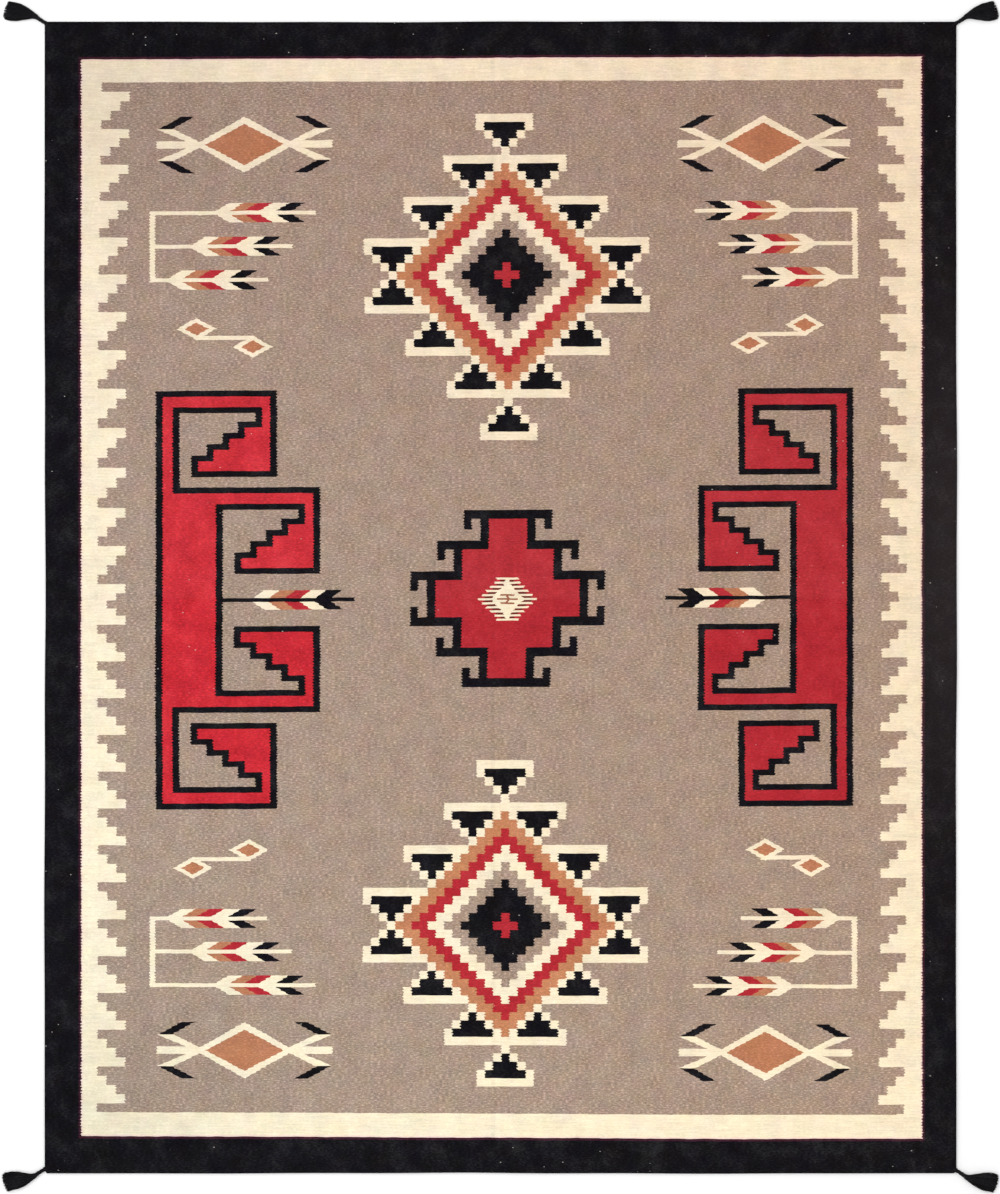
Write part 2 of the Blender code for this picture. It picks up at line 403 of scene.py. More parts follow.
def makeMedallion():
    # i and j = the cell's column and row, both counted outwards; rings by i + j; each pyramid has
    # rows k = 0 to 4 about its own column: cream at its sides, black inside, and a cream bar on top
    tree, given, out = newGroup(
        "medallion", [("Across", "Float"), ("V", "Float"), ("Near", "Float")], [("Dye", "Float")]
    )
    near = given["Near"]
    (farAcross, nearAcross), (farAlong, nearAlong) = medallion["acrossMiddle"], medallion["alongMiddle"]
    dv = given["V"] - (near * (nearAlong - farAlong) + farAlong)
    lean = (near * -1.0 + 1.0) * medallion["farLean"]
    du = given["Across"] - (near * (nearAcross - farAcross) + farAcross) + dv * lean
    i = (abs(du) / medallion["cellWide"]).step("ROUND")
    inner, outer = medallion["cellHigh"]
    cellHigh = (dv > 0.0) * (outer - inner) + inner
    j = (abs(dv) / cellHigh).step("ROUND")
    ring = i + j
    rows = medallion["pyramidRows"]
    number = (j / rows).step("FLOOR")
    k = j - number * rows
    column = (number * -rows + medallion["firstColumn"]).step("MAXIMUM", 0.0)
    offset = i - column
    side = abs(offset)
    slopes = k < 3.5
    bar = (k > 3.5) & offset.within(-4.5, 3.5)
    isCream = (side.near(k, 0.1) & slopes) | bar
    isBlack = (side < (k - 0.5)) & slopes
    outside = (ring > 13.5) & (j < medallion["lastRow"] + 0.5)
    pyramids = (isCream * cream | isBlack * black) & (outside * 8.0)
    rings = steppedNumber(tree, ring, 64.0, medallion["rings"])
    plug(tree, pyramids | rings, out["Dye"])
    return tree


# Red stepped cross in the middle, with a black edge that ends in hooks
cross = dict(
    acrossMiddle=4.8,
    lean=0.0155,
    tierHigh=81.9,
    tierStart=8.3,
    halfWide=192.4,
    stepIn=70.9,
    firstTop=49.6,
    edge=24.0,
    wall=23.4,
    hook=(46.4, 67.6),
    hookDrop=28.2,
)
comb = dict(
    pitch=10.98,
    thread=2.7,
    halfWide=78.0,
    stepIn=10.9,
    least=29.2,  # half width of its first and last threads
    high=57.6,
    drop=2.0,  # of the whole comb towards the near end
    lozenge=(45.0, 0.98),  # half width in the middle and how fast it narrows, and the same of its stem
    stem=(24.0, 0.364),
    shadowIn=5.0,  # how much shorter the dark threads between the cream ones are
    brownThread=2.2,
    brownWide=28.1,
    brownStep=9.4,
    bar=(3.2, 11.0),
)


def makeCross():
    # three tiers: tier t reaches halfWide - stepIn * t across and firstTop + tierHigh * t along;
    # the comb on it is cream threads whose length falls row by row, with dark ones between them, about
    # a small lozenge
    tree, given, out = newGroup(
        "steppedCross", [("Across", "Float"), ("Along", "Float"), ("V", "Float")], [("Dye", "Float")]
    )
    v = given["V"]
    u = abs(given["Across"] - given["Along"] * cross["lean"] - cross["acrossMiddle"])
    tier = ((v + cross["tierStart"]) / cross["tierHigh"]).step("FLOOR")
    uu = u - (tier * -cross["stepIn"] + cross["halfWide"])
    vv = v - (tier * cross["tierHigh"] + cross["firstTop"])
    body = vv < 0.0
    hookIn, hookOut = cross["hook"]
    lid = vv.within(0.0, cross["edge"]) & uu.within(-cross["stepIn"], hookOut)
    wall = body & uu.within(0.0, cross["wall"])
    hook = uu.within(hookIn, hookOut) & vv.within(-cross["hookDrop"], cross["edge"])
    inside = (body & (uu < 0.0)) | ((vv < cross["edge"]) & (uu < -cross["stepIn"]))
    dye = ((lid | wall | hook) * black) | (inside * red)
    dye = dye & ((tier < 2.5) * 8.0)

    v = abs(given["Along"] + comb["drop"])
    row = (v / comb["pitch"]).step("ROUND")
    fromRow = abs(v - row * comb["pitch"])
    reach = (row * -comb["stepIn"] + comb["halfWide"]) | comb["least"]
    low = v < comb["high"]
    outerRow = (v / comb["pitch"]).step("FLOOR") + 1.0
    shadow = u < (outerRow * -comb["stepIn"] + (comb["halfWide"] - comb["shadowIn"]))
    dye = dye.where(shadow & low, madder)
    threads = (fromRow < comb["thread"]) & (u < reach) & low
    (wide, narrows), (stemWide, stemNarrows) = comb["lozenge"], comb["stem"]
    lozenge = (u < (v * -narrows + wide)) | (u < (v * -stemNarrows + stemWide))
    dye = dye.where(threads | (lozenge & low), cream)
    brownReach = row * -comb["brownStep"] + comb["brownWide"]
    lines = (fromRow < comb["brownThread"]) & (row < 1.5) & (u < brownReach)
    upright = (u < comb["bar"][0]) & (v < comb["bar"][1])
    plug(tree, dye.where(lines | upright, brown), out["Dye"])
    return tree


# Red hooked frames on both sides: two arms of one shape, and the trunk that joins them
hookFrame = dict(
    rightStretch=0.0593,  # the right frames are narrower and further out
    rightShift=-50.1,
    outerReach=917.0,
    longArm=(514.5, 285.2),  # where its corner lies, across and along
    shortArm=(629.6, 543.8),
    shortFrom=313.2,
    outline=(18.7, 15.9),  # upright and level
    bar=28.1,
    strut=21.4,
    drop=199.4,
    stairWide=(67.0, 42.0),
    stairHigh=(83.0, 30.0),
    trunk=261.0,
    stripFrom=890.6,
)


def makeHookedArm():
    # a and b = how far in from the arm's corner, outwards and towards the middle; the arm is a bar, a
    # strut and four stairs, and everything grows by the outline's width for the black
    tree, given, out = newGroup(
        "hookedArm", [(n, "Float") for n in ("U", "V", "Widen", "Grow")], [("Mask", "Float")]
    )
    u, v, widen, grow = (given[label] for label in ("U", "V", "Widen", "Grow"))
    short = v > hookFrame["shortFrom"]
    (longU, longV), (shortU, shortV) = hookFrame["longArm"], hookFrame["shortArm"]
    a = u - (short * (shortU - longU) + longU)
    b = (short * (shortV - longV) + longV) - v
    bar, strut, drop = hookFrame["bar"], hookFrame["strut"], hookFrame["drop"]
    isBar = b.near(bar / 2, grow + bar / 2)
    isStrut = a.near(strut / 2, widen + strut / 2) & b.near(drop / 2, grow + drop / 2)
    wide, wideStep = hookFrame["stairWide"]
    high, highStep = hookFrame["stairHigh"]
    stair = ((b + grow - high) / highStep).step("FLOOR").step("MINIMUM", 3.0)
    isStairs = (a < stair * wideStep + widen + wide) & b.near((high + drop) / 2, grow + (drop - high) / 2)
    isTrunk = ((a + widen) > hookFrame["trunk"]) & ((b + grow) > 0.0)
    arm = ((isBar | isStrut | isStairs) & ((a + widen) > 0.0)) | isTrunk
    strip = ((u + widen) > hookFrame["stripFrom"]) & ((v - grow) < shortV)
    plug(tree, (arm | strip) & ((u - widen) < hookFrame["outerReach"]), out["Mask"])
    return tree


def makeHookFrames(hookedArm):
    # red is the arm's own shape, scarlet on the left, and black the grown shape round it
    tree, given, out = newGroup(
        "hookFrames", [(n, "Float") for n in ("U", "V", "Right", "Across")], [("Dye", "Float")]
    )
    right = given["Right"]
    u = abs(given["Across"]) * (right * hookFrame["rightStretch"] + 1.0)
    u = u + right * hookFrame["rightShift"]
    widen, grow = hookFrame["outline"]
    inside = useGroup(tree, hookedArm, U=u, V=given["V"], Widen=0.0, Grow=0.0)["Mask"]
    grown = useGroup(tree, hookedArm, U=u, V=given["V"], Widen=widen, Grow=grow)["Mask"]
    dyed = right * (red - scarlet) + scarlet
    plug(tree, (inside * dyed) | (grown * black), out["Dye"])
    return tree


# One feather: coloured vanes that sweep back from the shaft, read off along the shaft
feather = dict(
    corner=dict(bands=[(0, cream), (37.0, clay), (74.4, red), (114.6, cream), (158.7, black), (200.2, taupe)],
                slope=1.67, half=26.0),
    middle=dict(bands=[(0, cream), (41.5, clay), (83.8, red), (125.3, cream), (164.1, black), (208.8, taupe)],
                slope=1.43, half=26.2),
)


def makeFeather(name, kind):
    # s = along the shaft from the point - slope * distance from the shaft; the vane's colour by s
    tree, given, out = newGroup(name, [("Behind", "Float"), ("Off", "Float")], [("Dye", "Float")])
    off = abs(given["Off"])
    s = given["Behind"] - off * kind["slope"]
    vane = steppedNumber(tree, s, 512.0, kind["bands"])
    plug(tree, vane & (((s > 0.0) & (off < kind["half"])) * 8.0), out["Dye"])
    return tree


# Black-shafted feathers on the middle line, and three cream-shafted ones on a bar in each corner
middleFeather = dict(point=682.9, shaft=(405.0, 760.0), half=5.1, rightShift=-28.6)
cornerFeathers = dict(
    bar=(936.7, 951.4),
    barAlong=(850.8, 1041.0),
    outward=(0.0, 4.9, 1.2, 1.8),  # by quarter
    firstPoint=782.8,
    pointStep=63.3,
    firstAlong=1035.9,
    alongStep=90.0,
    firstEnd=508.1,
    endStep=64.2,
    half=5.1,
)


def makeFeathers(middleShape, cornerShape):
    tree, given, out = newGroup(
        "feathers", [(n, "Float") for n in ("U", "V", "Right", "Near")], [("Dye", "Float")]
    )
    u, v = given["U"], given["V"]
    shift = given["Right"] * middleFeather["rightShift"]
    vane = useGroup(tree, middleShape, Behind=u * -1.0 - shift + middleFeather["point"], Off=v)["Dye"]
    low, high = middleFeather["shaft"]
    shaft = (u + shift).within(low, high) & (v < middleFeather["half"])
    middleOnes = vane.where(shaft, black)

    # the nearest of the three, counted from the rug's end
    u = u - byQuarter(given["Right"], given["Near"], cornerFeathers["outward"])
    number = ((v * -1.0 + cornerFeathers["firstAlong"]) / cornerFeathers["alongStep"]).step("ROUND")
    number = number.step("MAXIMUM", 0.0).step("MINIMUM", 2.0)
    off = v + number * cornerFeathers["alongStep"] - cornerFeathers["firstAlong"]
    point = number * cornerFeathers["pointStep"] + cornerFeathers["firstPoint"]
    vane = useGroup(tree, cornerShape, Behind=point - u, Off=off)["Dye"]
    end = number * cornerFeathers["endStep"] + cornerFeathers["firstEnd"]
    barIn, barOut = cornerFeathers["bar"]
    shaft = (abs(off) < cornerFeathers["half"]) & (u > end) & (u < barOut)
    bar = u.within(barIn, barOut) & v.within(*cornerFeathers["barAlong"])
    plug(tree, vane.where(shaft | bar, cream) | middleOnes, out["Dye"])
    return tree


# Lozenge with crossed ends and four black leaves in each corner, and the two small diamonds on a bar
lozenge = dict(
    middle=(700.8, 1214.3),
    outward=(-2.4, 0.0, -2.7, 4.0),  # by quarter, and the same along the rug
    endward=(4.8, 1.7, -3.5, -0.8),
    outer=(133.0, 75.4),
    inner=(104.9, 55.4),
    innerSlope=0.50,
    outerSlope=0.415,
    prongHigh=42.0,
    bar=(9.9, 235.0),
    leafHigh=(42.8, 76.0),
    leafSlope=1.85,
    leafAcross=(194.0, 230.0),
)
pair = dict(
    middle=(752.2, 699.5),
    outward=(-0.8, -15.0, 9.9, 15.0),
    endward=(1.3, 4.3, -4.9, -3.6),
    apart=(75.0, 24.1),
    closer=(0.0, 0.0, 0.0, 13.0),
    outer=(53.0, 29.2),
    inner=(31.6, 17.4),
    bar=(79.5, 5.4),
)


def makeLozenges():
    # a diamond is |p| / half width + |q| / half height below 1; the crossed ends lie between two
    # slopes; a leaf is a slanted bar
    tree, given, out = newGroup(
        "lozenges", [(n, "Float") for n in ("U", "V", "Right", "Near")], [("Dye", "Float")]
    )

    def fromMiddle(motif):
        shifts = [byQuarter(given["Right"], given["Near"], motif[way]) for way in ("outward", "endward")]
        return given["U"] - shifts[0] - motif["middle"][0], given["V"] - shifts[1] - motif["middle"][1]

    p, q = (abs(wire) for wire in fromMiddle(lozenge))
    outWide, outHigh = lozenge["outer"]
    inWide, inHigh = lozenge["inner"]
    outer = (p / outWide + q / outHigh) < 1.0
    inner = (p / inWide + q / inHigh) < 1.0
    prongs = (q < ((p - inWide) * lozenge["innerSlope"])) & (q > ((p - outWide) * lozenge["outerSlope"]))
    prongs = prongs & (q < lozenge["prongHigh"])
    barHigh, barEnd = lozenge["bar"]
    bar = (q < barHigh) & p.within(outWide, barEnd)
    dye = ((outer | prongs | bar) * cream).where(inner, clay)
    leafLow, leafTop = lozenge["leafHigh"]
    leaf = (p + (q - leafLow) * lozenge["leafSlope"]).within(*lozenge["leafAcross"])
    dye = dye | ((leaf & q.within(leafLow, leafTop)) * black)

    du, dv = fromMiddle(pair)
    closer = byQuarter(given["Right"], given["Near"], pair["closer"])
    a = abs(du)
    b = dv * du.step("SIGN")
    pa = abs(a + closer - pair["apart"][0])
    pb = abs(closer * 0.2 + b - pair["apart"][1])
    outer = (pa / pair["outer"][0] + pb / pair["outer"][1]) < 1.0
    inner = (pa / pair["inner"][0] + pb / pair["inner"][1]) < 1.0
    barEnd, barHalf = pair["bar"]
    bar = (abs(b) < barHalf) & ((closer * 0.5 + a) < barEnd)
    plug(tree, dye | ((outer | bar) * cream).where(inner, clay), out["Dye"])
    return tree


def makeRugPattern():
    # every motif gives a dye number and nothing where it isn't, so the highest number wins
    tree, given, out = newGroup("rugPattern", [("Position", "Vector")], [("Dye", "Float")])
    grid = useGroup(tree, makeClothGrid(), Position=given["Position"])

    def place(group, *labels):
        return useGroup(tree, group, **{label: grid[label] for label in labels})["Dye"]

    motifs = [
        place(makeMedallion(), "Across", "V", "Near"),
        place(makeCross(), "Across", "Along", "V"),
        place(makeHookFrames(makeHookedArm()), "U", "V", "Right", "Across"),
        place(
            makeFeathers(
                makeFeather("middleFeather", feather["middle"]),
                makeFeather("cornerFeather", feather["corner"]),
            ),
            "U", "V", "Right", "Near",
        ),
        place(makeLozenges(), "U", "V", "Right", "Near"),
    ]
    dye = place(makeBorderBands(), "Across", "U", "AlongFlat", "Right", "Near")
    for motif in motifs:
        dye = dye | motif
    plug(tree, dye, out["Dye"])
    return tree


# How uneven the wool is: its flecks and its slow patches, one number for each dye in turn
wool = dict(
    heatherAcross=115.0,  # flecks a metre
    heatherAlong=330.0,
    rowAcross=16.0,
    rowAlong=240.0,
    patchScale=16.0,
    flecks=(0.64, 0.80, 0.12, 0.33, 0.34, 0.34, 0.30, 0.60, 0.40, 0.12, 0.30),
    patches=(0.19, 0.30, 0.17, 0.22, 0.26, 0.26, 0.20, 0.40, 0.34, 0.17, 0.20),
    hues=(0.28, 0.80, 0.20, 0.26, 0.26, 0.26, 0.20, 0.40, 0.26, 0.20, 0.20),  # and how much these shift its hue
    hairs=2.4,  # how much more the light flecks stand out than the dark ones
    rows=0.14,
    redLot=(0.015, 0.125, 0.09),  # how much lighter the red is in the far half
    lotPlace=-0.004,
    lotReach=0.004,
    pale=0.030,  # light specks of painted fibre sheen in every dye
    paleColour=(0.62, 0.60, 0.60, 1.0),
    # painted light and shade over the whole rug: darker at the far end, lighter at the near one, and tinted
    # between the left and the right side
    farLight=(0.907, 0.870, 0.874),
    nearLight=(1.090, 1.136, 1.134),
    leftLight=(0.976, 1.018, 1.050),
    rightLight=(1.024, 0.983, 0.951),
    cornerShade=0.14,  # painted shade in the two left corners
    cornerPlace=(1.10, 1.50),
    cornerReach=0.45,
    glarePlace=(1.20, 0.12),  # painted glare on the right edge, a veil lighter than the black
    glareReach=(0.13, 0.66),
    glareShare=0.095,
    glareColour=(0.17, 0.125, 0.12, 1.0),
)


def fromScreen(colour):
    # screen colour from 0 to 255 to linear light
    c = np.array(colour) / 255.0
    return tuple(np.where(c < 0.04045, c / 12.92, ((c + 0.055) / 1.055) ** 2.4))


def dyeRamp(tree, dye, colours):
    # a colour for each dye number
    ramp = tree.nodes.new("ShaderNodeValToRGB")
    ramp.color_ramp.interpolation = "CONSTANT"
    elements = ramp.color_ramp.elements
    elements.remove(elements[1])
    for number, colour in colours:
        start = max(0.0, (number - 0.5) / 16)
        mark = elements[0] if number == 0 else elements.new(start)
        mark.position = start
        mark.color = (*colour, 1.0)
    plug(tree, dye / 16.0, ramp.inputs[0])
    return ramp.outputs[0]


def scaleColour(tree, colour, factor):
    # colour times a number or another colour
    node = tree.nodes.new("ShaderNodeVectorMath")
    node.operation = "MULTIPLY"
    plug(tree, colour, node.inputs[0])
    plug(tree, factor, node.inputs[1])
    return node.outputs[0]


def mixColour(tree, first, second, factor):
    node = tree.nodes.new("ShaderNodeMix")
    node.data_type = "RGBA"
    plug(tree, factor, node.inputs[0])
    plug(tree, first, node.inputs[6])
    plug(tree, second, node.inputs[7])
    return node.outputs[2]


def makeHeather():
    # colour * (1 + flecks * (noise + hairs * the noise's light ends) + rows * row noise + patches *
    # slow noise), shifted towards yellow
    # or blue and towards pink or green by the slow noise's other two channels, then light specks of painted
    # fibre sheen where the fleck noise's third channel and the slow noise together are above their middle
    tree, given, out = newGroup(
        "heather",
        [("Color", "Color"), ("Position", "Vector")]
        + [(n, "Float") for n in ("Flecks", "Rows", "Patches", "Hues", "Pale")],
        [("Color", "Color")],
    )
    x, y, _ = splitPosition(tree, given["Position"])
    fleckPlace = joinPosition(tree, x * wool["heatherAcross"], y * wool["heatherAlong"])
    fleck = noiseAt(tree, fleckPlace, 1.0, 2.0, 0.7)
    rowPlace = joinPosition(tree, x * wool["rowAcross"], y * wool["rowAlong"])
    rows = noiseAt(tree, rowPlace, 1.0, 2.0, 0.6)
    patch = noiseAt(tree, given["Position"], wool["patchScale"], 4.0, 0.65)
    hairs = ((fleck[0] - 0.58).step("MAXIMUM", 0.0) - 0.02) * wool["hairs"]
    tone = (fleck[0] - 0.5 + hairs) * given["Flecks"] * 2.0 + 1.0
    tone = tone + (rows[0] - 0.5) * given["Rows"] * 2.0 + (patch[0] - 0.5) * given["Patches"] * 2.0
    yellow = (patch[1] - 0.5) * given["Hues"] + (fleck[1] - 0.5) * given["Flecks"] * 0.10
    pink = (patch[2] - 0.5) * given["Hues"] * 0.5
    shade = joinPosition(tree, tone + yellow * 0.3 + pink * 0.4, tone - pink, tone - yellow)
    # painted fibre sheen: light specks mixed towards a light grey
    pale = (fleck[2] + patch[0] - 1.0).step("MAXIMUM", 0.0) * given["Pale"] * 2.0
    colour = mixColour(tree, scaleColour(tree, given["Color"], shade), wool["paleColour"], pale)
    plug(tree, colour, out["Color"])
    return tree


def makeLint():
    # stray fibres: short level dashes in the few cells of a grid whose chance number is high enough
    tree, given, out = newGroup(
        "lint",
        [("Position", "Vector"), ("Rarity", "Float"), ("Size", "Float")],
        [("Mask", "Float")],
    )
    x, y, _ = splitPosition(tree, given["Position"])
    cell = tree.nodes.new("ShaderNodeTexVoronoi")
    cell.voronoi_dimensions = "2D"
    plug(tree, joinPosition(tree, x * 0.6, y), cell.inputs["Vector"])
    cell.inputs["Scale"].default_value = 100.0
    split = tree.nodes.new("ShaderNodeSeparateColor")
    tree.links.new(cell.outputs["Color"], split.inputs[0])
    near = Wire(tree, cell.outputs["Distance"]) < given["Size"] * Wire(tree, split.outputs[1])
    plug(tree, near & (Wire(tree, split.outputs[0]) > given["Rarity"]), out["Mask"])
    return tree


# Weft-faced plain weave: thick weft rows that bump over every other warp
weave = dict(warpPitch=0.0046, weftPitch=0.0019, depth=0.0006)


def makeWeave():
    # height = |sin(pi * (across / warp pitch + half for every other row))| * sin over the row's own width
    tree, given, out = newGroup(
        "weftFacedWeave",
        [("Position", "Vector"), ("WarpPitch", "Float"), ("WeftPitch", "Float")],
        [("Height", "Float")],
    )
    x, y, _ = splitPosition(tree, given["Position"])
    wobble = noiseAt(tree, given["Position"], 60.0, 1.0)
    rowPlace = y / given["WeftPitch"] + (wobble[0] - 0.5) * 1.2
    row = rowPlace.step("FLOOR")
    odd = row.step("MODULO", 2.0)
    bump = abs(((x / given["WarpPitch"] + odd * 0.5) * np.pi).step("SINE"))
    crown = abs((rowPlace * np.pi).step("SINE")).step("POWER", 0.6)
    plug(tree, (bump * 0.65 + 0.35) * crown + (wobble[1] - 0.5) * 0.5, out["Height"])
    return tree


def newMaterial(name):
    material = bpy.data.materials.new(name)
    material.use_nodes = True
    return material, material.node_tree, material.node_tree.nodes["Principled BSDF"]


def objectPlace(tree):
    return tree.nodes.new("ShaderNodeTexCoord").outputs["Object"]


def addBump(tree, shader, height, distance, strength):
    bump = tree.nodes.new("ShaderNodeBump")
    bump.inputs["Strength"].default_value = strength
    bump.inputs["Distance"].default_value = distance
    plug(tree, height, bump.inputs["Height"])
    tree.links.new(bump.outputs["Normal"], shader.inputs["Normal"])


# The rug's cloth
rug = dict(
    width=2.440,
    length=3.082,
    thickness=0.0040,
    bead=0.0026,  # radius of the cord along every edge
    beadSteps=7,
    groove=0.0006,  # dip between that cord and the cloth
    fineRows=(0.0075, 0.0095, 0.013, 0.019),  # distances of extra rows from the edge
    cellsAcross=130,
    cellsAlong=164,
    neckAngle=32.0,  # degrees from the end, along which a corner is drawn out
    cornerCut=0.0110,
    sideWaves=(0.0016, 0.0008),  # long and short, as the solid has them
    endWaves=(0.0012, 0.0006),
    waveCounts=(1.5, 5.5),
    firstPhase=0.7,
    phaseStep=1.9,
    creasePlace=-0.0205,  # the fold down the middle, and half its line's width
    crease=0.0055,
    creaseDepth=0.0005,
    creaseShade=0.045,
    foldPlace=-0.001,  # the fold across the middle
    foldShade=0.035,
    lintRarity=0.985,
    lintSize=0.14,
    lintShare=0.45,
)


def edgeStray(share, waves, phase):
    # long and short sine waves that fade to nothing at both corners
    slow, quick = waves
    slowCount, quickCount = rug["waveCounts"]
    strayed = slow * np.sin(2 * np.pi * slowCount * share + phase)
    strayed = strayed + quick * np.sin(2 * np.pi * quickCount * share + 2 * phase)
    return np.sin(np.pi * share) * strayed


def edgeRows(size, cells):
    # places from one edge to the other: close together round the edge cord, then evenly spaced;
    # arc = how far the surface has run from the edge, round the cord
    turn = np.linspace(0.0, np.pi, rug["beadSteps"])
    cord = rug["bead"] * (1 - np.cos(turn))
    near = np.concatenate([cord, rug["fineRows"]])
    nearArc = np.concatenate([rug["bead"] * turn, np.array(rug["fineRows"]) + rug["bead"] * (np.pi - 2)])
    inner = np.linspace(near[-1], size - near[-1], cells)[1:-1]
    place = np.concatenate([near, inner, size - near[::-1]])
    arc = np.concatenate([nearArc, inner + nearArc[-1] - near[-1],
                          size + 2 * (nearArc[-1] - near[-1]) - nearArc[::-1]])
    return place - size / 2, arc / arc[-1]


def clothRelief(x, y):
    # how far the cloth lies off the floor: slow hills, a fold down the middle, three across, rippled edges
    hills = 0.00035 * np.sin(2.1 * x + 1.3 * np.sin(1.7 * y)) * np.sin(1.6 * y + 0.8 * np.sin(2.3 * x + 1.0))
    fold = rug["creaseDepth"] * np.exp(-((x - rug["creasePlace"]) / 0.012) ** 2)
    foldsAcross = (0.77, rug["foldPlace"], -0.76)
    cross = 0.00025 * sum(np.exp(-((y - place) / 0.02) ** 2) for place in foldsAcross)
    fromSide = rug["width"] / 2 - np.abs(x)
    fromEnd = rug["length"] / 2 - np.abs(y)
    sideRipple = 0.0005 * np.exp(-fromSide / 0.08) * (1 + np.sin(17 * y + 2 * np.sin(2.2 * y)))
    endRipple = 0.0004 * np.exp(-fromEnd / 0.08) * (1 + np.sin(15 * x + 2 * np.sin(2.9 * x)))
    return np.maximum(hills + 0.00035, 0) + fold + cross + sideRipple + endRipple


def makeRugSurface(material):
    # a top and a bottom sheet over one grid, joined at its rim; half the thickness at a distance d
    # from the edge is a half circle over the edge cord, a shallow groove, then the cloth's own
    xs, us = edgeRows(rug["width"], rug["cellsAcross"])
    ys, vs = edgeRows(rug["length"], rug["cellsAlong"])
    x, y = np.meshgrid(xs, ys, indexing="ij")
    d = np.minimum(rug["width"] / 2 - np.abs(x), rug["length"] / 2 - np.abs(y))
    bead = rug["bead"]
    cord = np.sqrt(np.clip(d * (2 * bead - d), 0.0, None))
    settle = np.clip((d - 1.6 * bead) / (1.6 * bead), 0.0, 1.0)
    settle = settle * settle * (3 - 2 * settle)
    cloth = rug["thickness"] / 2 - rug["groove"] / 2 * np.exp(-((d - 2.2 * bead) / (0.7 * bead)) ** 2)
    half = np.where(d < 1.6 * bead, cord, np.maximum(cord, cloth * settle))
    half = np.where(d > 2 * bead, cloth * np.maximum(settle, 0.6), half)

    shareX = x / rug["width"] + 0.5
    shareY = y / rug["length"] + 0.5
    phases = [rug["firstPhase"] + rug["phaseStep"] * n for n in range(4)]  # near, right, far, left
    nearSide = edgeStray(shareX, rug["endWaves"], phases[0])
    rightSide = edgeStray(shareY, rug["sideWaves"], phases[1])
    farSide = edgeStray(1 - shareX, rug["endWaves"], phases[2])
    leftSide = edgeStray(1 - shareY, rug["sideWaves"], phases[3])
    strayedX = x + rightSide * shareX - leftSide * (1 - shareX)
    strayedY = y + farSide * shareY - nearSide * (1 - shareY)

    # a corner is pressed back to the flat that its tassel leaves from
    angle = np.radians(rug["neckAngle"])
    outward = np.cos(angle), np.sin(angle)
    cut = rug["cornerCut"] * np.sin(angle) * np.cos(angle)
    past = (np.abs(strayedX) - rug["width"] / 2) * outward[0]
    past = past + (np.abs(strayedY) - rug["length"] / 2) * outward[1] + cut
    past = np.clip(past, 0.0, None)
    strayedX = strayedX - np.sign(x) * outward[0] * past
    strayedY = strayedY - np.sign(y) * outward[1] * past

    lift = clothRelief(x, y)
    middle = lift + np.maximum(rug["thickness"] / 2, bead * np.exp(-(d / (3 * bead)) ** 2))
    middle = np.maximum(middle, half)
    count = x.size
    top = np.stack([strayedX, strayedY, middle + half], axis=-1).reshape(-1, 3)
    bottom = np.stack([strayedX, strayedY, middle - half], axis=-1).reshape(-1, 3)

    number = np.arange(count).reshape(x.shape)
    rim = np.zeros(x.shape, bool)
    rim[[0, -1], :] = True
    rim[:, [0, -1]] = True
    below = np.where(rim, number, 0)
    below[~rim] = count + np.arange((~rim).sum())
    points = np.concatenate([top, bottom[~rim.ravel()]])
    flat = np.stack(np.meshgrid(us, vs, indexing="ij"), axis=-1).reshape(-1, 2)
    flat = np.concatenate([flat, flat[~rim.ravel()]])

    def quads(index, flip):
        corners = [index[:-1, :-1], index[1:, :-1], index[1:, 1:], index[:-1, 1:]]
        faces = np.stack(corners, axis=-1).reshape(-1, 4)
        return faces[:, ::-1] if flip else faces

    faces = np.concatenate([quads(number, False), quads(below, True)])
    return makeMesh("rug_cloth", points, faces, material, flat)


def makeMesh(name, points, faces, material, flat=None, tones=None):
    # flat = a place on the bake's map for each point, tones = one number for each point
    mesh = bpy.data.meshes.new(name)
    mesh.vertices.add(len(points))
    mesh.vertices.foreach_set("co", np.asarray(points, np.float32).ravel())
    faces = np.asarray(faces, np.int32)
    sides = faces.shape[1]
    mesh.loops.add(faces.size)
    mesh.loops.foreach_set("vertex_index", faces.ravel())
    mesh.polygons.add(len(faces))
    mesh.polygons.foreach_set("loop_start", np.arange(0, faces.size, sides, dtype=np.int32))
    mesh.polygons.foreach_set("use_smooth", np.ones(len(faces), bool))
    mesh.update(calc_edges=True)
    if flat is not None:
        layer = mesh.uv_layers.new(name="OFBake")
        layer.data.foreach_set("uv", flat[faces.ravel()].astype(np.float32).ravel())
    if tones is not None:
        mesh.attributes.new("strandTone", "FLOAT", "POINT").data.foreach_set("value", tones.astype(np.float32))
    mesh.validate()
    mesh.materials.append(material)
    made = bpy.data.objects.new(name, mesh)
    bpy.context.scene.collection.objects.link(made)
    return made


